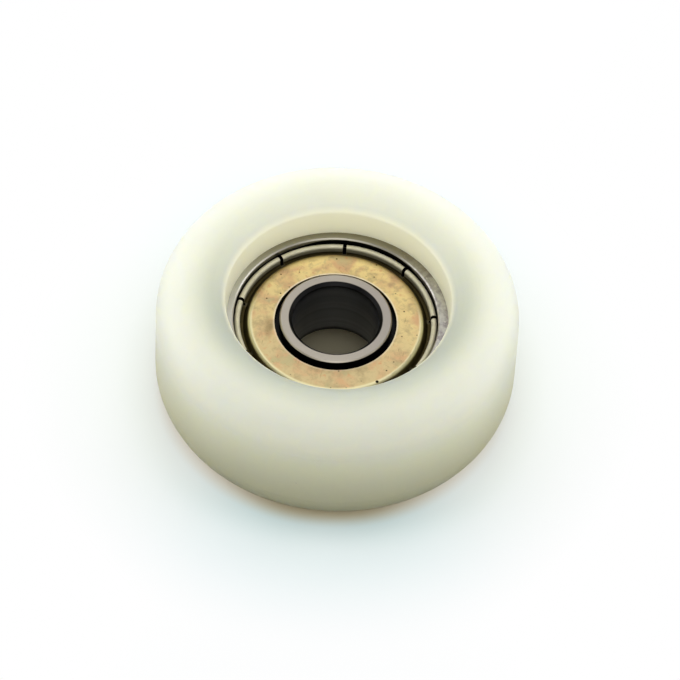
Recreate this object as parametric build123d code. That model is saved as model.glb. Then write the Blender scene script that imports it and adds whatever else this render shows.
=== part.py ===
from build123d import *
from math import radians, tan
import os

# Sliding door roller: a nylon wheel moulded round a shielded ball bearing.
# It lies flat on its side, with the deeper recess up. Z is the axle's line, and the origin is
# the middle of the bearing's bore. Sizes are in millimetres.

# Nylon wheel
tread_wall = 5.0  # nylon between the bearing and the tread
wheel_width = 12.0
bearing_offset = 0.5  # of the wheel's middle above the bearing's, which makes one recess deeper
shoulder_radius = 3.2  # rounding from the tread to the crest of each rim
rim_dip = 1.2  # fall of the rounded rim from its crest to the recess wall
rim_edge_radius = 0.35  # soft edge where the rim meets the recess wall
lip_reach = 0.63  # how far the nylon covers each side of the bearing
wall_draft = 3.0  # degrees that the recess wall opens outwards
moulding_offset = 0.13  # how far the nylon sits off the bearing's axis, towards +X

# Rings
bore_diameter = 7.0
inner_ring_wall = 1.07  # from the bore to the bottom of the inner race
inner_side_width = 1.0  # of the inner ring's ground side
inner_relief_depth = 1.1  # of the step in the inner ring under the edge of each shield
outer_ring_wall = 1.37  # from the bottom of the outer race to the outside
bore_chamfer = 0.25
outer_corner_radius = 0.3
edge_break = 0.1  # small chamfer on the other edges of both rings

# Balls and races
ball_count = 6
ball_diameter = 3.5
race_clearance = 0.03  # between a ball and the bottom of each race
race_conformity = 0.53  # radius of a race's groove over the ball's diameter
shoulder_height = 0.48  # of each race's shoulder above the groove's bottom

# Ribbon cage, pressed from sheet in two halves and riveted
cage_sheet = 0.25
cage_band_width = 1.3
pocket_clearance = 0.08
rivet_shank_radius = 0.28
rivet_head_radius = 0.45
rivet_head_height = 0.2
rivet_head_rounding = 0.12

# Shields, pressed from sheet: a flat ring, a groove and a folded rim that is cut into tabs
shield_sheet = 0.2
shield_gap = 0.4  # between the inner ring and the shield's hole
shield_clearance = 0.22  # between the cage's cups and the shield's flat ring
shield_set_back = 0.5  # of the flat ring, below the side of the bearing
shield_bend_lead = 0.05  # how far inside the cage's edge the shield turns down
shield_slope_run = 0.38  # how far outwards the slope goes on its way down
shield_bend_radius = 0.35
groove_depth = 1.05  # of the shield's groove, below the side of the bearing
groove_corner_radius = 0.15
rim_set_back = 0.4  # of the folded rim's top, below the side of the bearing
rim_gap = 0.1  # between the folded rim and the outer ring
rim_roundness = 0.49  # radius of the folded rim's top over its width, just under a full round
foot_spread = 0.28  # how far the rim's foot spreads outwards
foot_edge = 0.1
foot_slope = 0.15
slit_count = 9
slit_width = 0.28
slit_reach = 0.12  # how far each slit runs past the rim, into the groove
first_slit_angle = 7.0  # degrees from +X

# Seat of each shield in the outer ring
shield_seat_depth = 0.55  # from the race's shoulder out to the ring's mouth
seat_clearance = 0.02  # past the spread foot
notch_head_room = 0.05  # above the spread foot

# Radii from the bore outwards: the bearing comes to the standard 7 mm bore and 19 mm outside
bore_radius = bore_diameter / 2
ball_radius = ball_diameter / 2
ball_spacing = 360 / ball_count
race_radius = race_conformity * ball_diameter
inner_race_bottom = bore_radius + inner_ring_wall
inner_land_radius = inner_race_bottom + shoulder_height
inner_side_radius = bore_radius + inner_side_width
pitch_radius = inner_race_bottom + race_clearance + ball_radius
outer_race_bottom = pitch_radius + ball_radius + race_clearance
outer_land_radius = outer_race_bottom - shoulder_height
ring_mouth_radius = outer_land_radius + shield_seat_depth
bearing_radius = outer_race_bottom + outer_ring_wall
cage_inner_radius = pitch_radius - cage_band_width / 2
cage_outer_radius = pitch_radius + cage_band_width / 2
shield_hole_radius = inner_side_radius + shield_gap
shield_bend_place = cage_outer_radius - shield_bend_lead
rim_outer_radius = ring_mouth_radius - rim_gap
rim_inner_radius = outer_land_radius
foot_radius = rim_outer_radius + foot_spread
wheel_radius = bearing_radius + tread_wall
crest_radius = wheel_radius - shoulder_radius

# Heights from the middle of the balls: the bearing comes to the standard 6 mm width
pocket_radius = ball_radius + pocket_clearance
cup_top = pocket_radius + cage_sheet
shield_flat = cup_top + shield_clearance + shield_sheet
half_width = shield_flat + shield_set_back
groove_floor = half_width - groove_depth
shield_underside = groove_floor - shield_sheet
rim_top = half_width - rim_set_back
wheel_top = wheel_width / 2 + bearing_offset
wheel_bottom = wheel_top - wheel_width


def band(inner_radius, outer_radius, low, high):
    """Section of a plain ring: a rectangle beside the axis, x outwards and y along the axle."""
    middle = Pos((inner_radius + outer_radius) / 2, (low + high) / 2)
    return middle * Rectangle(outer_radius - inner_radius, high - low)


def corners(section, *places):
    """The corner of a section that is nearest to each (radius, height) place."""
    return [section.vertices().sort_by_distance((*place, 0))[0] for place in places]


def turned(section):
    """Solid of revolution of a section about the axle's line."""
    return revolve(Plane.XZ * section, Axis.Z)


def round_the_pitch_circle(start_angle):
    """One place on the pitch circle for each ball, the first at start_angle degrees."""
    return PolarLocations(pitch_radius, ball_count, start_angle, rotate=False)


def recess_wall(side, crest_height, bearing_side):
    """Foot and top of the drafted recess wall; side is 1 for the upper side, -1 for the lower."""
    foot = (bearing_radius - lip_reach, bearing_side)
    top_height = crest_height - side * rim_dip
    top = (foot[0] + abs(top_height - bearing_side) * tan(radians(wall_draft)), top_height)
    return foot, top


def nylon_wheel():
    """Wheel with a plain tread, rounded rims and a recess on each side of the bearing."""
    upper_foot, upper_edge = recess_wall(1, wheel_top, half_width)
    lower_foot, lower_edge = recess_wall(-1, wheel_bottom, -half_width)
    upper_crest = (crest_radius, wheel_top)
    lower_crest = (crest_radius, wheel_bottom)
    tread_top = (wheel_radius, wheel_top - shoulder_radius)
    tread_bottom = (wheel_radius, wheel_bottom + shoulder_radius)
    outline = [
        Line(upper_foot, upper_edge),
        TangentArc(upper_crest, upper_edge, tangent=(-1, 0)),
        TangentArc(upper_crest, tread_top, tangent=(1, 0)),
        Line(tread_top, tread_bottom),
        TangentArc(lower_crest, tread_bottom, tangent=(1, 0)),
        TangentArc(lower_crest, lower_edge, tangent=(-1, 0)),
        Line(lower_edge, lower_foot),
        Line(lower_foot, upper_foot),
    ]
    section = make_face(outline)
    section = fillet(corners(section, upper_edge, lower_edge), rim_edge_radius)
    blank = Pos(moulding_offset, 0, 0) * turned(section)
    return blank - turned(bearing_seat())


def bearing_seat():
    """Section of the space that the outer ring fills in the nylon."""
    seat = band(inner_side_radius, bearing_radius, -half_width, half_width)
    outer_edges = corners(seat, (bearing_radius, half_width), (bearing_radius, -half_width))
    return fillet(outer_edges, outer_corner_radius)


def race_groove(bottom_radius, outwards):
    """Section of a race's groove; outwards is 1 where the ball lies outside it, -1 inside."""
    return Pos(bottom_radius + outwards * race_radius, 0) * Circle(race_radius)


def inner_ring():
    """Inner ring: chamfered bore, ground sides, relieved edges and the inner race."""
    land_height = half_width - inner_relief_depth
    section = band(bore_radius, inner_side_radius, -half_width, half_width)
    section += band(bore_radius, inner_land_radius, -land_height, land_height)
    bore_edges = [(bore_radius, half_width), (bore_radius, -half_width)]
    section = chamfer(corners(section, *bore_edges), bore_chamfer)
    side_edges = [(inner_side_radius, half_width), (inner_side_radius, -half_width)]
    land_edges = [(inner_land_radius, land_height), (inner_land_radius, -land_height)]
    section = chamfer(corners(section, *side_edges, *land_edges), edge_break)
    return turned(section - race_groove(inner_race_bottom, 1))


def shield_notch():
    """Section of the notch in the outer ring that holds the foot of the upper shield."""
    depth_radius = foot_radius + seat_clearance
    low_roof = shield_underside + foot_edge + notch_head_room
    high_roof = low_roof + foot_slope
    return make_face(Polyline(
        (outer_land_radius, shield_underside),
        (depth_radius, shield_underside),
        (depth_radius, low_roof),
        (ring_mouth_radius, high_roof),
        (outer_land_radius, high_roof),
        close=True,
    ))


def outer_ring():
    """Outer ring: rounded corners, the outer race and a notched mouth for each shield."""
    section = bearing_seat() - band(inner_side_radius, outer_land_radius, -half_width, half_width)
    mouth = band(outer_land_radius, ring_mouth_radius, shield_underside, half_width)
    mouth += shield_notch()
    section -= mouth
    section -= mirror(mouth, about=Plane.XZ)
    mouth_edges = [(ring_mouth_radius, half_width), (ring_mouth_radius, -half_width)]
    section = chamfer(corners(section, *mouth_edges), edge_break)
    return turned(section - race_groove(outer_race_bottom, -1))


def shield():
    """Upper shield: flat ring, slope, groove and a folded rim that slits cut into tabs."""
    half_sheet = shield_sheet / 2
    flat_middle = shield_flat - half_sheet
    groove_middle = groove_floor - half_sheet
    rim_middle = (rim_inner_radius + rim_outer_radius) / 2
    rim_rounding = rim_roundness * (rim_outer_radius - rim_inner_radius)
    sheet_line = FilletPolyline(
        (shield_hole_radius, flat_middle),
        (shield_bend_place, flat_middle),
        (shield_bend_place + shield_slope_run, groove_middle),
        (rim_middle, groove_middle),
        radius=[shield_bend_radius, groove_corner_radius],
    )
    rim = band(rim_inner_radius, rim_outer_radius, shield_underside, rim_top)
    rim_edges = corners(rim, (rim_inner_radius, rim_top), (rim_outer_radius, rim_top))
    rim = fillet(rim_edges, rim_rounding)
    foot = make_face(Polyline(
        (rim_middle, shield_underside),
        (foot_radius, shield_underside),
        (foot_radius, shield_underside + foot_edge),
        (rim_outer_radius, shield_underside + foot_edge + foot_slope),
        (rim_middle, shield_underside + foot_edge + foot_slope),
        close=True,
    ))
    body = turned(trace(sheet_line, shield_sheet) + rim + foot)
    slit_start = rim_inner_radius - slit_reach
    slit = Box(
        bearing_radius - slit_start, slit_width, half_width,
        align=(Align.MIN, Align.CENTER, Align.MIN),
    )
    for place in PolarLocations(slit_start, slit_count, first_slit_angle):
        body -= place * slit
    return body


def cage_half():
    """Upper half of the ribbon cage: flats between cups that hold the balls."""
    ribbon_space = turned(band(cage_inner_radius, cage_outer_radius, 0, half_width))
    half = turned(band(cage_inner_radius, cage_outer_radius, 0, cage_sheet))
    for place in round_the_pitch_circle(0):
        half += ribbon_space & (place * Sphere(cup_top))
    for place in round_the_pitch_circle(0):
        half -= place * Sphere(pocket_radius)
    for place in round_the_pitch_circle(ball_spacing / 2):
        half -= place * Cylinder(rivet_shank_radius, 2 * half_width)
    return half


def cage_rivet():
    """Rivet through both halves of the cage, with a low rounded head at each end."""
    rivet = Cylinder(rivet_shank_radius, 2 * cage_sheet)
    head = Cylinder(rivet_head_radius, rivet_head_height, align=(Align.CENTER, Align.CENTER, Align.MIN))
    head = fillet(head.edges().sort_by(Axis.Z)[-1:], rivet_head_rounding)
    upper_head = Pos(0, 0, cage_sheet) * head
    return rivet + upper_head + mirror(upper_head, about=Plane.XY)


def write_node(name, shape):
    """Save one piece under its node's name."""
    export_step(shape, f"parts/{name}.step")


os.makedirs("parts", exist_ok=True)

write_node("nylon_wheel", nylon_wheel())
write_node("outer_ring", outer_ring())
write_node("inner_ring", inner_ring())

upper_shield = shield()
write_node("upper_shield", upper_shield)
write_node("lower_shield", Rot(180, 0, 0) * upper_shield)

upper_cage = cage_half()
write_node("cage_upper_half", upper_cage)
write_node("cage_lower_half", mirror(upper_cage, about=Plane.XY))

for number, place in enumerate(round_the_pitch_circle(0), start=1):
    write_node(f"ball_{number}", place * Sphere(ball_radius))

for number, place in enumerate(round_the_pitch_circle(ball_spacing / 2), start=1):
    write_node(f"cage_rivet_{number}", place * cage_rivet())
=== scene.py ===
import math

import bmesh
import bpy
from mathutils import Matrix, Vector


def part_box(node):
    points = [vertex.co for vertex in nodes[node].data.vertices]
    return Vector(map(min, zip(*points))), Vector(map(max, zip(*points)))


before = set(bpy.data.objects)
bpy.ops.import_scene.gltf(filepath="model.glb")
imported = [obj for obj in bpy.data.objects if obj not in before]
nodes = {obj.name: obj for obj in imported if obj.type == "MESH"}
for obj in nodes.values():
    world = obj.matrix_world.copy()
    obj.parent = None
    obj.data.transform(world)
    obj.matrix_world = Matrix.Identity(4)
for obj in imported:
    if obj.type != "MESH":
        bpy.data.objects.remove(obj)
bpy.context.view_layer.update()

# Sliding door roller, lying flat on a white table. Lengths are in metres, with MM for millimetres.
MM = 0.001
TABLE_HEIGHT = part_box("nylon_wheel")[0][2]
NYLON_CENTRE = (0.13 * MM, 0.0, 0.0)

# Places on the roller that its finishes follow: millimetres from the bearing's middle, and degrees.
BORE_RADIUS = 3.5
TREAD_TOP = 3.3
TREAD_FOOT = -2.3
FIRST_SLIT = 7.0
SLIT_SPACING = 40.0
SLIT_HALF_WIDTH = 0.14

# The room: its own light, and its soft windows (degrees round from the right, degrees up, strength).
ROOM_LIGHT = 0.01
SOFT_WINDOWS = [(-90, 40, 2.25), (-45, 40, 0.4)]
WINDOW_SHARPNESS = 7.0
# Soft lamps of a small light tent: place in millimetres, and watts.
LAMP_SIZE = 90 * MM
LAMPS = {
    "lamp_left": ((-100, 0, 30), 0.053),
    "lamp_right": ((100, 0, 30), 0.040),
    "lamp_back_left": ((-85, 60, 20), 0.040),
    "lamp_back_right": ((85, 60, 20), 0.045),
    "lamp_low_behind": ((0, 110, 25), 0.060),
    "lamp_high_behind": ((0, 100, 100), 0.009),
    "lamp_above": ((0, 45, 110), 0.027),
}
TABLE_HALF_WIDTH = 1.5
# The camera: how far above the table and how far rolled, what it looks at and from how far, its lens
# and sensor in millimetres, and the nearest and furthest that it sees.
CAMERA_ELEVATION = math.radians(51.5)
CAMERA_ROLL = math.radians(3.1)
CAMERA_AIM = Vector((0.43 * MM, 0, 0.2 * MM))
CAMERA_DISTANCE = 400 * MM
CAMERA_LENS = 263.8
CAMERA_SENSOR = 36
NEAREST_SEEN = 0.01
FURTHEST_SEEN = 20


def linear(hex_colour):
    """An sRGB hex colour as the linear RGBA that Blender's sockets take."""
    channels = [int(hex_colour[start:start + 2], 16) / 255 for start in (1, 3, 5)]
    return [c / 12.92 if c <= 0.04045 else ((c + 0.055) / 1.055) ** 2.4 for c in channels] + [1.0]


def add_node(owner, kind, inputs=None, **settings):
    """Adds a node: settings are its options, inputs are values, or nodes and sockets to link from."""
    node = owner.node_tree.nodes.new(kind)
    for name, value in settings.items():
        setattr(node, name, value)
    for name, value in (inputs or {}).items():
        if isinstance(value, bpy.types.Node):
            value = next(socket for socket in value.outputs if socket.enabled)
        if isinstance(value, bpy.types.NodeSocket):
            owner.node_tree.links.new(value, node.inputs[name])
        else:
            node.inputs[name].default_value = value
    return node


def new_material(name):
    """A material with nothing in its node tree yet."""
    material = bpy.data.materials.new(name)
    material.use_nodes = True
    material.node_tree.nodes.clear()
    return material


def object_place(material, centre=(0.0, 0.0, 0.0)):
    """Place in millimetres from a centre, the same split in three, and the radius about the axle."""
    coordinates = add_node(material, "ShaderNodeTexCoord")
    place = add_node(material, "ShaderNodeMapping", {
        "Vector": coordinates.outputs["Object"],
        "Location": [-c / MM for c in centre],
        "Scale": (1 / MM, 1 / MM, 1 / MM),
    })
    split = add_node(material, "ShaderNodeSeparateXYZ", {0: place})
    flat = add_node(material, "ShaderNodeCombineXYZ", {0: split.outputs["X"], 1: split.outputs["Y"]})
    radius = add_node(material, "ShaderNodeVectorMath", {0: flat}, operation="LENGTH")
    return place, split.outputs, radius.outputs["Value"]


def spots(material, place, spacing, size, share):
    """Round spots: spacing of their cells and size in millimetres, and the share that shows."""
    cells = add_node(material, "ShaderNodeTexVoronoi", {"Vector": place, "Scale": 1 / spacing})
    near = add_node(material, "ShaderNodeMapRange", {
        "Value": cells.outputs["Distance"], "From Min": size / spacing, "From Max": 0.4 * size / spacing,
    }, interpolation_type="SMOOTHSTEP")
    chance = add_node(material, "ShaderNodeSeparateColor", {0: cells.outputs["Color"]})
    chosen = add_node(material, "ShaderNodeMath", {0: chance, 1: 1 - share}, operation="GREATER_THAN")
    return add_node(material, "ShaderNodeMath", {0: near, 1: chosen}, operation="MULTIPLY")


def scratches(material, place, turned, length, width):
    """Short scratches that run one way across a flat side: degrees turned, and millimetres."""
    along = add_node(material, "ShaderNodeMapping", {
        "Vector": place, "Rotation": (0, 0, math.radians(turned)), "Scale": (2 * length, 2 * width, 2.0),
    }, vector_type="TEXTURE")
    streaks = add_node(material, "ShaderNodeTexNoise", {"Vector": along, "Scale": 1.0, "Detail": 1.0})
    return add_node(material, "ShaderNodeMapRange", {
        "Value": streaks, "From Min": 0.71, "From Max": 0.78,
    }, interpolation_type="SMOOTHSTEP")


def natural_nylon():
    """Polyamide 6 in its natural colour, injection moulded: milky, see-through for some millimetres."""
    # Light goes in at the top, wanders inside and comes out through the tread, weaker and yellower towards
    # the table, and painted shade adds to it there. The mould leaves a satin skin with faint rings, clouds
    # and a little dust.
    nylon = new_material("polyamide_natural_moulded")
    place, split, radius = object_place(nylon, NYLON_CENTRE)
    height = add_node(nylon, "ShaderNodeMath", {0: split["Z"]}, operation="ABSOLUTE")
    clouds = add_node(nylon, "ShaderNodeTexNoise", {
        "Vector": place, "Scale": 0.17, "Detail": 3.0, "Roughness": 0.55,
    })
    milk = add_node(nylon, "ShaderNodeMix", {
        0: clouds, 6: linear("#eeefdb"), 7: linear("#e5e8d6"),
    }, data_type="RGBA")
    # Towards the opening, thin over the steel that takes light away, it is painted greyer as painted shade.
    thin = add_node(nylon, "ShaderNodeMapRange", {
        "Value": radius, "From Min": 12.6, "From Max": 9.7,
    }, interpolation_type="SMOOTHSTEP")
    side = add_node(nylon, "ShaderNodeMapRange", {"Value": height, "From Min": 2.9, "From Max": 3.3})
    # The painted shade is stronger on one half.
    shaded_half = add_node(nylon, "ShaderNodeMapRange", {
        "Value": split["Y"], "From Min": 11.0, "From Max": -6.0, "To Min": 0.1,
    }, interpolation_type="SMOOTHSTEP")
    over_steel = add_node(nylon, "ShaderNodeMath", {0: thin, 1: side}, operation="MULTIPLY")
    painted_grey_shade = add_node(nylon, "ShaderNodeMath", {0: over_steel, 1: shaded_half}, operation="MULTIPLY")
    milk = add_node(nylon, "ShaderNodeMix", {
        0: painted_grey_shade, 6: milk, 7: linear("#b5bcb0"),
    }, data_type="RGBA")
    # The tread is painted paler above its middle on the same half: a painted band of light.
    above_middle = add_node(nylon, "ShaderNodeMapRange", {
        "Value": split["Z"], "From Min": -2.0, "From Max": 3.0,
    }, interpolation_type="SMOOTHSTEP")
    below_shoulder = add_node(nylon, "ShaderNodeMapRange", {
        "Value": split["Z"], "From Min": 5.6, "From Max": 3.8,
    }, interpolation_type="SMOOTHSTEP")
    near_half = add_node(nylon, "ShaderNodeMapRange", {
        "Value": split["Y"], "From Min": -4.0, "From Max": -11.0,
    }, interpolation_type="SMOOTHSTEP")
    band = add_node(nylon, "ShaderNodeMath", {0: above_middle, 1: below_shoulder}, operation="MULTIPLY")
    painted_light_band = add_node(nylon, "ShaderNodeMath", {0: band, 1: near_half}, operation="MULTIPLY")
    milk = add_node(nylon, "ShaderNodeMix", {
        0: painted_light_band, 6: milk, 7: linear("#fefddc"),
    }, data_type="RGBA")
    # The recess wall is painted a brighter warm cream as painted light, and the foot of the tread, furthest
    # from the light, is painted darker and yellower as painted shade.
    within = add_node(nylon, "ShaderNodeMapRange", {"Value": radius, "From Min": 9.4, "From Max": 9.05})
    below_fold = add_node(nylon, "ShaderNodeMapRange", {
        "Value": height, "From Min": 6.3, "From Max": 5.0,
    }, interpolation_type="SMOOTHSTEP")
    wall = add_node(nylon, "ShaderNodeMath", {0: within, 1: below_fold}, operation="MULTIPLY")
    milk = add_node(nylon, "ShaderNodeMix", {0: wall, 6: milk, 7: linear("#fffddd")}, data_type="RGBA")
    painted_foot_shade = add_node(nylon, "ShaderNodeMapRange", {
        "Value": split["Z"], "From Min": 3.0, "From Max": -5.4,
    })
    milk = add_node(nylon, "ShaderNodeMix", {0: painted_foot_shade, 6: milk, 7: linear("#c9c07a")}, data_type="RGBA")
    # The edge that the roller stands on is painted orange-brown: painted warm shade at the contact.
    painted_contact_shade = add_node(nylon, "ShaderNodeMapRange", {
        "Value": split["Z"], "From Min": -3.4, "From Max": -5.0, "To Max": 0.6,
    }, interpolation_type="SMOOTHSTEP")
    milk = add_node(nylon, "ShaderNodeMix", {0: painted_contact_shade, 6: milk, 7: linear("#f0b461")}, data_type="RGBA")
    dust = add_node(nylon, "ShaderNodeMath", {
        0: spots(nylon, place, 2.4, 0.09, 0.12), 1: 0.35,
    }, operation="MULTIPLY")
    milk = add_node(nylon, "ShaderNodeMix", {0: dust, 6: milk, 7: linear("#b9b49a")}, data_type="RGBA")
    skin = add_node(nylon, "ShaderNodeTexNoise", {
        "Vector": place, "Scale": 5.6, "Detail": 4.0, "Roughness": 0.6,
    })
    satin = add_node(nylon, "ShaderNodeMapRange", {"Value": skin, "To Min": 0.42, "To Max": 0.56})
    milkiness = add_node(nylon, "ShaderNodeMapRange", {"Value": wall, "To Min": 1.0, "To Max": 0.3})
    # The mould was turned on a lathe: rings about 0.03 mm apart, drawn at 0.3 mm and more to show.
    across = add_node(nylon, "ShaderNodeMath", {0: radius, 1: height}, operation="ADD")
    rings = add_node(nylon, "ShaderNodeTexNoise", {
        "W": across, "Scale": 1.6, "Detail": 3.0,
    }, noise_dimensions="1D")
    turned = add_node(nylon, "ShaderNodeBump", {
        "Height": rings, "Distance": 0.05 * MM, "Strength": 0.25,
    })
    # The mould's parts met at the two edges of the tread, which shows as a fine step all round.
    upper_edge = add_node(nylon, "ShaderNodeMapRange", {
        "Value": split["Z"], "From Min": TREAD_TOP - 0.08, "From Max": TREAD_TOP + 0.08,
    })
    lower_edge = add_node(nylon, "ShaderNodeMapRange", {
        "Value": split["Z"], "From Min": TREAD_FOOT + 0.08, "From Max": TREAD_FOOT - 0.08,
    })
    outside = add_node(nylon, "ShaderNodeMath", {0: radius, 1: 13.5}, operation="GREATER_THAN")
    edges = add_node(nylon, "ShaderNodeMath", {0: upper_edge, 1: lower_edge}, operation="MAXIMUM")
    steps = add_node(nylon, "ShaderNodeMath", {0: edges, 1: outside}, operation="MULTIPLY")
    stepped = add_node(nylon, "ShaderNodeBump", {
        "Height": steps, "Distance": 0.04 * MM, "Strength": 0.5, "Normal": turned,
    }, invert=True)
    grained = add_node(nylon, "ShaderNodeBump", {
        "Height": skin, "Distance": 0.02 * MM, "Strength": 0.12, "Normal": stepped,
    })
    shader = add_node(nylon, "ShaderNodeBsdfPrincipled", {
        "Base Color": milk, "Roughness": satin, "Normal": grained, "IOR": 1.53, "Specular IOR Level": 0.4,
        "Subsurface Weight": milkiness, "Subsurface Scale": 10.0 * MM, "Subsurface Radius": (1.0, 0.9, 0.5),
    })
    add_node(nylon, "ShaderNodeOutputMaterial", {"Surface": shader})
    return nylon


def ground_bearing_steel():
    """Through-hardened chrome steel, its sides ground: a grey, slightly pink sheen with stains."""
    # Only the sides and races are ground, and the bore keeps a grey drawn skin. Its chamfers and top edge,
    # the notches for the shields and the mouth are painted near-black: painted shade of the deep gaps.
    steel = new_material("bearing_steel_ground")
    place, split, radius = object_place(steel)
    height = add_node(steel, "ShaderNodeMath", {0: split["Z"]}, operation="ABSOLUTE")
    stain = add_node(steel, "ShaderNodeTexNoise", {
        "Vector": place, "Scale": 0.55, "Detail": 6.0, "Roughness": 0.65,
    })
    colour = add_node(steel, "ShaderNodeMix", {
        0: stain, 6: linear("#a49c90"), 7: linear("#b1aa9e"),
    }, data_type="RGBA")
    # The inner ring is duller on one side. The outer ring's side is paler, with painted shade on its far
    # part, darkest along the nylon wall, and mottled where it is wide and hands reached it.
    dulled = add_node(steel, "ShaderNodeMapRange", {
        "Value": split["X"], "From Min": 1.0, "From Max": 4.5,
    })
    colour = add_node(steel, "ShaderNodeMix", {
        0: dulled, 6: colour, 7: linear("#9e978f"),
    }, data_type="RGBA")
    outer = add_node(steel, "ShaderNodeMapRange", {"Value": radius, "From Min": 7.6, "From Max": 8.2})
    colour = add_node(steel, "ShaderNodeMix", {
        0: outer, 6: colour, 7: linear("#bdbbb3"),
    }, data_type="RGBA")
    mottled = add_node(steel, "ShaderNodeTexNoise", {
        "Vector": place, "Scale": 1.8, "Detail": 5.0, "Roughness": 0.7,
    })
    wide_side = add_node(steel, "ShaderNodeMapRange", {
        "Value": split["X"], "From Min": 3.0, "From Max": 7.5,
    }, interpolation_type="SMOOTHSTEP")
    one_side_mask = add_node(steel, "ShaderNodeMath", {0: outer, 1: wide_side}, operation="MULTIPLY")
    dull = add_node(steel, "ShaderNodeMapRange", {
        "Value": mottled, "From Min": 0.36, "From Max": 0.64,
    }, interpolation_type="SMOOTHSTEP")
    purple = add_node(steel, "ShaderNodeMath", {0: one_side_mask, 1: dull}, operation="MULTIPLY")
    colour = add_node(steel, "ShaderNodeMix", {
        0: purple, 6: colour, 7: linear("#918b8b"),
    }, data_type="RGBA")
    # Pale spots on the mottled part are painted glints.
    painted_glints = add_node(steel, "ShaderNodeMath", {
        0: one_side_mask, 1: spots(steel, place, 0.42, 0.09, 0.5),
    }, operation="MULTIPLY")
    colour = add_node(steel, "ShaderNodeMix", {
        0: painted_glints, 6: colour, 7: linear("#d6d0c9"),
    }, data_type="RGBA")
    far_side = add_node(steel, "ShaderNodeMapRange", {
        "Value": split["Y"], "From Min": 2.5, "From Max": 8.0,
    }, interpolation_type="SMOOTHSTEP")
    edge = add_node(steel, "ShaderNodeMapRange", {
        "Value": radius, "From Min": 8.3, "From Max": 8.75, "To Min": 0.54, "To Max": 0.74,
    }, interpolation_type="SMOOTHSTEP")
    toward_nylon_wall = add_node(steel, "ShaderNodeMath", {0: edge, 1: outer}, operation="MULTIPLY")
    painted_wall_shade = add_node(steel, "ShaderNodeMath", {0: toward_nylon_wall, 1: far_side}, operation="MULTIPLY")
    colour = add_node(steel, "ShaderNodeMix", {
        0: painted_wall_shade, 6: colour, 7: linear("#6a6144"),
    }, data_type="RGBA")
    # The painted shade, with the drawing lines of the tube along the bore's wall below its top. In the
    # outer ring's mouth the painted shade reaches nearly up to the edge on one side (75 degrees round) and
    # stays low down elsewhere.
    towards = add_node(steel, "ShaderNodeVectorMath", {
        0: place, 1: (0.26, 0.97, 0.0),
    }, operation="DOT_PRODUCT")
    mouth = add_node(steel, "ShaderNodeMapRange", {
        "Value": towards.outputs["Value"], "From Min": 6.2, "From Max": 7.9, "To Min": 2.48, "To Max": 2.86,
    }, interpolation_type="SMOOTHSTEP")
    lip = add_node(steel, "ShaderNodeMapRange", {
        "Value": radius, "From Min": 6.0, "From Max": 7.0, "To Min": 2.9, "To Max": mouth,
    })
    above_lip = add_node(steel, "ShaderNodeMath", {0: height, 1: lip}, operation="SUBTRACT")
    below_side = add_node(steel, "ShaderNodeMapRange", {
        "Value": above_lip, "From Min": 0.03, "From Max": -0.03,
    })
    within_notch = add_node(steel, "ShaderNodeMapRange", {
        "Value": radius, "From Min": 8.5, "From Max": 8.3,
    })
    notch = add_node(steel, "ShaderNodeMath", {0: below_side, 1: within_notch}, operation="MULTIPLY")
    bore = add_node(steel, "ShaderNodeMapRange", {
        "Value": radius, "From Min": BORE_RADIUS + 0.3, "From Max": BORE_RADIUS + 0.24,
    })
    painted_hollow_shade = add_node(steel, "ShaderNodeMath", {0: bore, 1: notch}, operation="MAXIMUM")
    dark = add_node(steel, "ShaderNodeMix", {
        0: stain, 6: linear("#131314"), 7: linear("#1f1e1e"),
    }, data_type="RGBA")
    colour = add_node(steel, "ShaderNodeMix", {0: painted_hollow_shade, 6: colour, 7: dark}, data_type="RGBA")
    lines = add_node(steel, "ShaderNodeTexNoise", {
        "W": split["Z"], "Scale": 2.4, "Detail": 3.0,
    }, noise_dimensions="1D")
    scale = add_node(steel, "ShaderNodeMapRange", {"Value": lines, "From Min": 0.3, "From Max": 0.7})
    bore_skin = add_node(steel, "ShaderNodeMix", {
        0: scale, 6: linear("#6d707a"), 7: linear("#82858f"),
    }, data_type="RGBA")
    drawn = add_node(steel, "ShaderNodeMapRange", {
        "Value": radius, "From Min": BORE_RADIUS + 0.006, "From Max": BORE_RADIUS,
    })
    inside = add_node(steel, "ShaderNodeMapRange", {"Value": height, "From Min": 2.7, "From Max": 2.3})
    wall = add_node(steel, "ShaderNodeMath", {0: drawn, 1: inside}, operation="MULTIPLY")
    colour = add_node(steel, "ShaderNodeMix", {0: wall, 6: colour, 7: bore_skin}, data_type="RGBA")
    # The grinding marks are about 0.02 mm apart; they are drawn at 0.08 mm to show.
    across = add_node(steel, "ShaderNodeMath", {0: radius, 1: height}, operation="ADD")
    marks = add_node(steel, "ShaderNodeTexNoise", {
        "W": across, "Scale": 12.0, "Detail": 2.0,
    }, noise_dimensions="1D")
    ground = add_node(steel, "ShaderNodeBump", {
        "Height": marks, "Distance": 0.01 * MM, "Strength": 0.25,
    })
    worn = add_node(steel, "ShaderNodeBump", {
        "Height": mottled, "Distance": 0.012 * MM, "Strength": 0.3, "Normal": ground,
    })
    sheen = add_node(steel, "ShaderNodeMapRange", {"Value": stain, "To Min": 0.28, "To Max": 0.44})
    shader = add_node(steel, "ShaderNodeBsdfPrincipled", {
        "Base Color": colour, "Roughness": sheen, "Normal": worn, "Metallic": 1.0,
    })
    add_node(steel, "ShaderNodeOutputMaterial", {"Surface": shader})
    return steel


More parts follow.
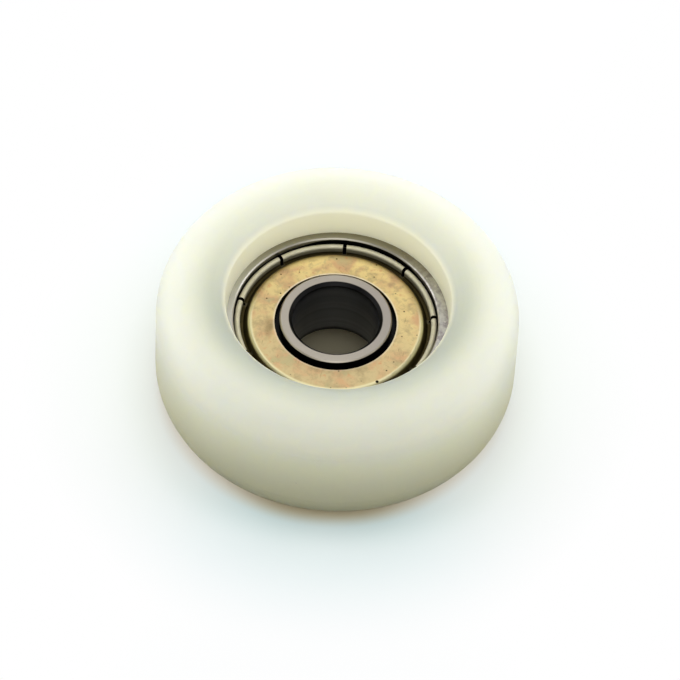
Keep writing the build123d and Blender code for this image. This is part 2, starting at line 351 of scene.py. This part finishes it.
def passivated_sheet():
    """Zinc plated steel sheet, yellow passivated: gold with pink and green films, specks, and painted
    highlights.
    """
    # The film is thick on the flat. The folded tabs are nearly bare and silvery, and the groove before them
    # is dark with grease and dust and with painted shade.
    sheet = new_material("zinc_plate_yellow_passivated")
    place, split, radius = object_place(sheet)
    height = add_node(sheet, "ShaderNodeMath", {0: split["Z"]}, operation="ABSOLUTE")
    drift = add_node(sheet, "ShaderNodeTexNoise", {
        "Vector": place, "Scale": 0.5, "Detail": 3.0, "Distortion": 0.4,
    })
    pink = add_node(sheet, "ShaderNodeMapRange", {
        "Value": drift, "From Min": 0.4, "From Max": 0.66,
    }, interpolation_type="SMOOTHSTEP")
    # The film is paler towards one edge.
    slanting = add_node(sheet, "ShaderNodeVectorMath", {
        0: place, 1: (0.15, 1.0, 0.0),
    }, operation="DOT_PRODUCT")
    paler_side = add_node(sheet, "ShaderNodeMapRange", {
        "Value": slanting.outputs["Value"], "From Min": -5.5, "From Max": 6.5,
    }, interpolation_type="SMOOTHSTEP")
    gold = add_node(sheet, "ShaderNodeMix", {
        0: paler_side, 6: linear("#cdba8a"), 7: linear("#ead290"),
    }, data_type="RGBA")
    gold = add_node(sheet, "ShaderNodeMix", {0: pink, 6: gold, 7: linear("#d2aa7f")}, data_type="RGBA")
    waves = add_node(sheet, "ShaderNodeTexNoise", {
        "Vector": place, "Scale": 0.46, "Detail": 3.0, "Distortion": 0.8,
    })
    green = add_node(sheet, "ShaderNodeMapRange", {
        "Value": waves, "From Min": 0.52, "From Max": 0.68,
    }, interpolation_type="SMOOTHSTEP")
    gold = add_node(sheet, "ShaderNodeMix", {0: green, 6: gold, 7: linear("#bfb284")}, data_type="RGBA")
    cloud = add_node(sheet, "ShaderNodeTexNoise", {
        "Vector": place, "Scale": 1.4, "Detail": 5.0, "Roughness": 0.65,
    })
    dim = add_node(sheet, "ShaderNodeMapRange", {
        "Value": cloud, "From Min": 0.48, "From Max": 0.66, "To Max": 0.6,
    })
    gold = add_node(sheet, "ShaderNodeMix", {0: dim, 6: gold, 7: linear("#ab9670")}, data_type="RGBA")
    # Small reddish stains, dark specks of grit, and short scratches in two directions.
    rust = add_node(sheet, "ShaderNodeMapRange", {
        "Value": cloud, "From Min": 0.40, "From Max": 0.30, "To Max": 0.6,
    })
    gold = add_node(sheet, "ShaderNodeMix", {0: rust, 6: gold, 7: linear("#cf9366")}, data_type="RGBA")
    upright = scratches(sheet, place, 80, 0.5, 0.06)
    slanted = scratches(sheet, place, -35, 0.4, 0.05)
    scored = add_node(sheet, "ShaderNodeMath", {0: upright, 1: slanted}, operation="MAXIMUM")
    scratched = add_node(sheet, "ShaderNodeMath", {0: scored, 1: 0.4}, operation="MULTIPLY")
    gold = add_node(sheet, "ShaderNodeMix", {
        0: scratched, 6: gold, 7: linear("#8a7146"),
    }, data_type="RGBA")
    grit = spots(sheet, place, 0.62, 0.1, 0.52)
    gold = add_node(sheet, "ShaderNodeMix", {0: grit, 6: gold, 7: linear("#54452a")}, data_type="RGBA")
    # A smear of old grease lies across one place on the flat.
    smear_place = add_node(sheet, "ShaderNodeMapping", {
        "Vector": place, "Location": (-5.3, -1.0, 2.5), "Scale": (0.5, 1.6, 1.0),
    }, vector_type="TEXTURE")
    smear_reach = add_node(sheet, "ShaderNodeVectorMath", {0: smear_place}, operation="LENGTH")
    smear = add_node(sheet, "ShaderNodeMapRange", {
        "Value": smear_reach.outputs["Value"], "From Min": 1.0, "From Max": 0.3,
    }, interpolation_type="SMOOTHSTEP")
    patchy = add_node(sheet, "ShaderNodeMath", {0: smear, 1: cloud}, operation="MULTIPLY")
    gold = add_node(sheet, "ShaderNodeMix", {
        0: patchy, 6: gold, 7: linear("#94825a"),
    }, data_type="RGBA")
    # The bend into the groove carries a painted pale yellow highlight on the near side.
    bend_start = add_node(sheet, "ShaderNodeMapRange", {
        "Value": radius, "From Min": 6.6, "From Max": 6.85,
    }, interpolation_type="SMOOTHSTEP")
    one_side_mask = add_node(sheet, "ShaderNodeMapRange", {
        "Value": split["Y"], "From Min": 3.5, "From Max": 0.0,
    }, interpolation_type="SMOOTHSTEP")
    painted_bend_highlight = add_node(sheet, "ShaderNodeMath", {0: bend_start, 1: one_side_mask}, operation="MULTIPLY")
    gold = add_node(sheet, "ShaderNodeMix", {
        0: painted_bend_highlight, 6: gold, 7: linear("#f0e8b8"),
    }, data_type="RGBA")
    # Painted shade darkens the edge of the flat on the other side, where it turns down into the groove, and
    # the edge of the hole carries a painted pale highlight, strongest on the paler side.
    flat_edge = add_node(sheet, "ShaderNodeMapRange", {
        "Value": radius, "From Min": 6.3, "From Max": 7.0,
    }, interpolation_type="SMOOTHSTEP")
    other_side_share = add_node(sheet, "ShaderNodeMapRange", {"Value": one_side_mask, "To Min": 0.6, "To Max": 0.0})
    painted_edge_shade = add_node(sheet, "ShaderNodeMath", {0: flat_edge, 1: other_side_share}, operation="MULTIPLY")
    gold = add_node(sheet, "ShaderNodeMix", {0: painted_edge_shade, 6: gold, 7: linear("#5b4c2a")}, data_type="RGBA")
    hole_edge = add_node(sheet, "ShaderNodeMapRange", {
        "Value": radius, "From Min": 5.06, "From Max": 4.96,
    })
    rim_highlight_share = add_node(sheet, "ShaderNodeMapRange", {"Value": paler_side, "To Min": 0.2, "To Max": 0.65})
    painted_rim_highlight = add_node(sheet, "ShaderNodeMath", {0: hole_edge, 1: rim_highlight_share}, operation="MULTIPLY")
    gold = add_node(sheet, "ShaderNodeMix", {0: painted_rim_highlight, 6: gold, 7: linear("#f6ecd2")}, data_type="RGBA")
    crumb_reach = add_node(sheet, "ShaderNodeVectorMath", {
        0: place, 1: (3.54, -5.83, 2.48),
    }, operation="DISTANCE")
    crumb = add_node(sheet, "ShaderNodeMapRange", {
        "Value": crumb_reach.outputs["Value"], "From Min": 0.16, "From Max": 0.10,
    })
    gold = add_node(sheet, "ShaderNodeMix", {0: crumb, 6: gold, 7: linear("#1c1710")}, data_type="RGBA")
    # The groove, with a faint painted light at the root of each slit, where the sheet was cut and folded.
    paste_and_shade = add_node(sheet, "ShaderNodeMix", {
        0: cloud, 6: linear("#2e2817"), 7: linear("#5c5232"),
    }, data_type="RGBA")
    angle = add_node(sheet, "ShaderNodeMath", {0: split["Y"], 1: split["X"]}, operation="ARCTAN2")
    degrees = add_node(sheet, "ShaderNodeMath", {
        0: angle, 1: math.degrees(1), 2: -FIRST_SLIT,
    }, operation="MULTIPLY_ADD")
    from_slit = add_node(sheet, "ShaderNodeMath", {
        0: degrees, 1: SLIT_SPACING / 2, 2: -SLIT_SPACING / 2,
    }, operation="WRAP")
    off_slit = add_node(sheet, "ShaderNodeMath", {0: from_slit}, operation="ABSOLUTE")
    slit_root = add_node(sheet, "ShaderNodeMapRange", {
        "Value": off_slit, "From Min": 1.7, "From Max": 0.9,
    })
    past_groove = add_node(sheet, "ShaderNodeMapRange", {
        "Value": radius, "From Min": 7.22, "From Max": 7.34, "To Max": 0.35,
    })
    painted_slit_light = add_node(sheet, "ShaderNodeMath", {0: slit_root, 1: past_groove}, operation="MULTIPLY")
    paste_and_shade = add_node(sheet, "ShaderNodeMix", {
        0: painted_slit_light, 6: paste_and_shade, 7: linear("#b3aa88"),
    }, data_type="RGBA")
    in_groove = add_node(sheet, "ShaderNodeMapRange", {
        "Value": radius, "From Min": 6.9, "From Max": 7.1,
    }, interpolation_type="SMOOTHSTEP")
    skin = add_node(sheet, "ShaderNodeMix", {0: in_groove, 6: gold, 7: paste_and_shade}, data_type="RGBA")
    # The tabs: silvery olive, with painted shade darkening them below their rounded tops.
    streaked = add_node(sheet, "ShaderNodeMix", {
        0: cloud, 6: linear("#cdc8ac"), 7: linear("#f6f2df"),
    }, data_type="RGBA")
    low = add_node(sheet, "ShaderNodeMapRange", {
        "Value": height, "From Min": 2.6, "From Max": 2.3, "To Max": 0.75,
    })
    tab = add_node(sheet, "ShaderNodeMix", {
        0: low, 6: streaked, 7: linear("#7d7659"),
    }, data_type="RGBA")
    folded = add_node(sheet, "ShaderNodeMapRange", {"Value": radius, "From Min": 7.52, "From Max": 7.6})
    raised = add_node(sheet, "ShaderNodeMapRange", {
        "Value": height, "From Min": 1.98, "From Max": 2.12,
    })
    on_tab = add_node(sheet, "ShaderNodeMath", {0: folded, 1: raised}, operation="MULTIPLY")
    skin = add_node(sheet, "ShaderNodeMix", {0: on_tab, 6: skin, 7: tab}, data_type="RGBA")
    # The cut walls of the slits are painted black as shade.
    turned_off = add_node(sheet, "ShaderNodeMath", {
        0: off_slit, 1: math.radians(1),
    }, operation="MULTIPLY")
    beside_slit = add_node(sheet, "ShaderNodeMath", {0: turned_off, 1: radius}, operation="MULTIPLY")
    in_slit = add_node(sheet, "ShaderNodeMapRange", {
        "Value": beside_slit, "From Min": SLIT_HALF_WIDTH + 0.015, "From Max": SLIT_HALF_WIDTH + 0.005,
    })
    past_root = add_node(sheet, "ShaderNodeMapRange", {
        "Value": radius, "From Min": 7.3, "From Max": 7.6,
    })
    painted_slit_shade = add_node(sheet, "ShaderNodeMath", {0: in_slit, 1: past_root}, operation="MULTIPLY")
    skin = add_node(sheet, "ShaderNodeMix", {
        0: painted_slit_shade, 6: skin, 7: linear("#1c1811"),
    }, data_type="RGBA")
    # The sheet's own grain is about 0.02 mm; it is drawn at 0.05 mm to show.
    grain = add_node(sheet, "ShaderNodeTexNoise", {"Vector": place, "Scale": 10.0, "Detail": 3.0})
    grained = add_node(sheet, "ShaderNodeBump", {
        "Height": grain, "Distance": 0.006 * MM, "Strength": 0.3,
    })
    pressed = add_node(sheet, "ShaderNodeBump", {
        "Height": drift, "Distance": 0.03 * MM, "Strength": 0.15, "Normal": grained,
    })
    cut = add_node(sheet, "ShaderNodeBump", {
        "Height": scored, "Distance": 0.01 * MM, "Strength": 0.4, "Normal": pressed,
    }, invert=True)
    haze = add_node(sheet, "ShaderNodeMapRange", {"Value": cloud, "To Min": 0.3, "To Max": 0.46})
    dull = add_node(sheet, "ShaderNodeMath", {0: on_tab, 1: 0.2, 2: haze}, operation="MULTIPLY_ADD")
    pasty = add_node(sheet, "ShaderNodeMath", {
        0: in_groove, 1: 0.15, 2: dull,
    }, operation="MULTIPLY_ADD")
    shader = add_node(sheet, "ShaderNodeBsdfPrincipled", {
        "Base Color": skin, "Roughness": pasty, "Normal": cut, "Metallic": 1.0,
    })
    add_node(sheet, "ShaderNodeOutputMaterial", {"Surface": shader})
    return sheet


def pressed_cage_steel():
    """Low carbon steel strip, cold rolled and pressed: bright, under a dull uneven film of grease."""
    strip = new_material("cold_rolled_strip_pressed")
    place = object_place(strip)[0]
    film = add_node(strip, "ShaderNodeTexNoise", {"Vector": place, "Scale": 0.83, "Detail": 4.0})
    colour = add_node(strip, "ShaderNodeMix", {
        0: film, 6: linear("#aba7a0"), 7: linear("#8f8a80"),
    }, data_type="RGBA")
    smear = add_node(strip, "ShaderNodeMapRange", {"Value": film, "To Min": 0.28, "To Max": 0.5})
    # Rolling leaves a grain of about 0.02 mm, drawn at 0.06 mm to show.
    grain = add_node(strip, "ShaderNodeTexNoise", {"Vector": place, "Scale": 8.3, "Detail": 3.0})
    greased = add_node(strip, "ShaderNodeBump", {
        "Height": film, "Distance": 0.02 * MM, "Strength": 0.15,
    })
    rolled = add_node(strip, "ShaderNodeBump", {
        "Height": grain, "Distance": 0.006 * MM, "Strength": 0.3, "Normal": greased,
    })
    shader = add_node(strip, "ShaderNodeBsdfPrincipled", {
        "Base Color": colour, "Roughness": smear, "Normal": rolled, "Metallic": 1.0,
    })
    add_node(strip, "ShaderNodeOutputMaterial", {"Surface": shader})
    return strip


def lapped_ball_steel():
    """Chrome bearing steel, lapped to a mirror, with a thin uneven film of grease."""
    ball = new_material("bearing_steel_lapped")
    place = object_place(ball)[0]
    film = add_node(ball, "ShaderNodeTexNoise", {"Vector": place, "Scale": 0.7, "Detail": 4.0})
    colour = add_node(ball, "ShaderNodeMix", {
        0: film, 6: linear("#c9c9cb"), 7: linear("#bbb8b2"),
    }, data_type="RGBA")
    smear = add_node(ball, "ShaderNodeMapRange", {"Value": film, "To Min": 0.05, "To Max": 0.16})
    greased = add_node(ball, "ShaderNodeBump", {
        "Height": film, "Distance": 0.02 * MM, "Strength": 0.05,
    })
    shader = add_node(ball, "ShaderNodeBsdfPrincipled", {
        "Base Color": colour, "Roughness": smear, "Normal": greased, "Metallic": 1.0,
    })
    add_node(ball, "ShaderNodeOutputMaterial", {"Surface": shader})
    return ball


def finish_nodes(material, *names):
    """Gives CAD nodes a material in place of the plain one they were packed with."""
    for name in names:
        slots = nodes[name].material_slots
        if not slots:
            nodes[name].data.materials.append(material)
        for slot in slots:
            slot.material = material


def white_table():
    """White card: to the eye white with a light, cool shadow, and dark for the light it throws back."""
    card = new_material("table_white_card")
    _, split, radius = object_place(card)
    path = add_node(card, "ShaderNodeLightPath")
    glossy = add_node(card, "ShaderNodeMath", {
        0: path.outputs["Is Camera Ray"], 1: path.outputs["Is Glossy Ray"],
    }, operation="MAXIMUM")
    looked_at = add_node(card, "ShaderNodeMath", {
        0: glossy, 1: path.outputs["Is Transmission Ray"],
    }, operation="MAXIMUM")
    # Close to the roller the card is painted darker and warm: painted contact shade in the nylon's warm
    # light. A little way off its shadow looks cool before the roller and greener beside it.
    across = add_node(card, "ShaderNodeMath", {0: split["X"], 1: radius}, operation="DIVIDE")
    sideways = add_node(card, "ShaderNodeMath", {0: across}, operation="ABSOLUTE")
    greener = add_node(card, "ShaderNodeMapRange", {
        "Value": sideways, "From Min": 0.4, "From Max": 1.0,
    }, interpolation_type="SMOOTHSTEP")
    cool = add_node(card, "ShaderNodeMix", {
        0: greener, 6: linear("#e6fbfd"), 7: linear("#eff7f2"),
    }, data_type="RGBA")
    away = add_node(card, "ShaderNodeMapRange", {
        "Value": radius, "From Min": 13.0, "From Max": 14.7,
    }, interpolation_type="SMOOTHSTEP")
    paper = add_node(card, "ShaderNodeMix", {0: away, 6: linear("#dcd3b2"), 7: cool}, data_type="RGBA")
    colour = add_node(card, "ShaderNodeMix", {
        0: looked_at, 6: linear("#303030"), 7: paper,
    }, data_type="RGBA")
    matt = add_node(card, "ShaderNodeBsdfDiffuse", {"Color": colour})
    glow = add_node(card, "ShaderNodeEmission", {"Color": linear("#ffffff"), "Strength": 1.0})
    # For the camera alone the shadow is painted lighter with distance and more beside the roller, and it is
    # full inside the bore.
    wider = add_node(card, "ShaderNodeMapRange", {"Value": sideways, "From Max": 0.6, "To Max": 1.1})
    reach = add_node(card, "ShaderNodeMath", {0: radius, 1: wider}, operation="SUBTRACT")
    close = add_node(card, "ShaderNodeMapRange", {
        "Value": reach, "From Min": 13.2, "From Max": 17.0, "To Max": 0.36,
    }, interpolation_type="SMOOTHSTEP")
    fading = add_node(card, "ShaderNodeMapRange", {
        "Value": radius, "From Min": 14.0, "From Max": 17.5, "To Min": 1.0, "To Max": 0.25,
    }, interpolation_type="SMOOTHSTEP")
    outside = add_node(card, "ShaderNodeMapRange", {
        "Value": radius, "From Min": 11.0, "From Max": 13.5, "To Max": 0.32,
    })
    beyond = add_node(card, "ShaderNodeMath", {0: outside, 1: fading}, operation="MULTIPLY")
    beside = add_node(card, "ShaderNodeMapRange", {
        "Value": sideways, "From Min": 0.2, "From Max": 0.85, "To Max": beyond,
    }, interpolation_type="SMOOTHSTEP")
    far = add_node(card, "ShaderNodeMapRange", {
        "Value": radius, "From Min": 15.0, "From Max": 27.0, "To Max": 0.6,
    }, interpolation_type="SMOOTHSTEP")
    at_sides = add_node(card, "ShaderNodeMath", {0: close, 1: beside}, operation="ADD")
    lightened = add_node(card, "ShaderNodeMath", {0: at_sides, 1: far}, operation="ADD", use_clamp=True)
    lift = add_node(card, "ShaderNodeMath", {
        0: path.outputs["Is Camera Ray"], 1: lightened,
    }, operation="MULTIPLY")
    surface = add_node(card, "ShaderNodeMixShader", {0: lift, 1: matt, 2: glow})
    add_node(card, "ShaderNodeOutputMaterial", {"Surface": surface})
    return card


def table():
    """A wide flat table under the roller."""
    top = bmesh.new()
    level = Matrix.Translation((0, 0, TABLE_HEIGHT))
    bmesh.ops.create_grid(top, x_segments=1, y_segments=1, size=TABLE_HALF_WIDTH, matrix=level)
    mesh = bpy.data.meshes.new("table")
    top.to_mesh(mesh)
    top.free()
    mesh.materials.append(white_table())
    piece = bpy.data.objects.new("table", mesh)
    bpy.context.scene.collection.objects.link(piece)


def light_tent():
    """Square soft lamps close round the roller, out of the picture, all turned towards it."""
    for name, (millimetres, watts) in LAMPS.items():
        lamp = bpy.data.lights.new(name, "AREA")
        lamp.size = LAMP_SIZE
        lamp.energy = watts
        piece = bpy.data.objects.new(name, lamp)
        place = Vector(millimetres) * MM
        aimed = (-place).to_track_quat("-Z", "Y").to_matrix().to_4x4()
        piece.matrix_world = Matrix.Translation(place) @ aimed
        piece.visible_camera = False
        bpy.context.scene.collection.objects.link(piece)


def soft_windows():
    """A dim room whose walls brighten smoothly towards its windows, and look white to the camera."""
    world = bpy.data.worlds.new("room_with_soft_windows")
    bpy.context.scene.world = world
    world.use_nodes = True
    world.node_tree.nodes.clear()
    coordinates = add_node(world, "ShaderNodeTexCoord")
    total = ROOM_LIGHT
    for azimuth, elevation, strength in SOFT_WINDOWS:
        around = math.radians(azimuth)
        above = math.radians(elevation)
        level = math.cos(above)
        direction = (math.cos(around) * level, math.sin(around) * level, math.sin(above))
        facing = add_node(world, "ShaderNodeVectorMath", {
            0: coordinates.outputs["Generated"], 1: direction,
        }, operation="DOT_PRODUCT")
        falling = add_node(world, "ShaderNodeMath", {
            0: facing.outputs["Value"], 1: WINDOW_SHARPNESS, 2: -WINDOW_SHARPNESS,
        }, operation="MULTIPLY_ADD")
        glow = add_node(world, "ShaderNodeMath", {0: falling}, operation="EXPONENT")
        total = add_node(world, "ShaderNodeMath", {
            0: glow, 1: strength, 2: total,
        }, operation="MULTIPLY_ADD")
    path = add_node(world, "ShaderNodeLightPath")
    seen = add_node(world, "ShaderNodeMix", {0: path.outputs["Is Camera Ray"], 2: total, 3: 1.0})
    background = add_node(world, "ShaderNodeBackground", {"Color": linear("#ffffff"), "Strength": seen})
    add_node(world, "ShaderNodeOutputWorld", {"Surface": background})


def camera():
    """A long lens that looks down on the roller as the photograph was taken."""
    data = bpy.data.cameras.new("camera")
    data.lens = CAMERA_LENS
    data.sensor_width = CAMERA_SENSOR
    data.clip_start = NEAREST_SEEN
    data.clip_end = FURTHEST_SEEN
    piece = bpy.data.objects.new("camera", data)
    tilt = Matrix.Rotation(math.pi / 2 - CAMERA_ELEVATION, 4, "X") @ Matrix.Rotation(CAMERA_ROLL, 4, "Z")
    back = Vector((0, -math.cos(CAMERA_ELEVATION), math.sin(CAMERA_ELEVATION)))
    place = CAMERA_AIM + back * CAMERA_DISTANCE
    piece.matrix_world = Matrix.Translation(place) @ tilt
    bpy.context.scene.collection.objects.link(piece)
    bpy.context.scene.camera = piece


finish_nodes(natural_nylon(), "nylon_wheel")
finish_nodes(ground_bearing_steel(), "outer_ring", "inner_ring")
finish_nodes(passivated_sheet(), "upper_shield", "lower_shield")
rivets = [f"cage_rivet_{number}" for number in range(1, 7)]
balls = [f"ball_{number}" for number in range(1, 7)]
finish_nodes(pressed_cage_steel(), "cage_upper_half", "cage_lower_half", *rivets)
finish_nodes(lapped_ball_steel(), *balls)
table()
light_tent()
soft_windows()
camera()
bpy.context.scene.view_settings.view_transform = "Standard"
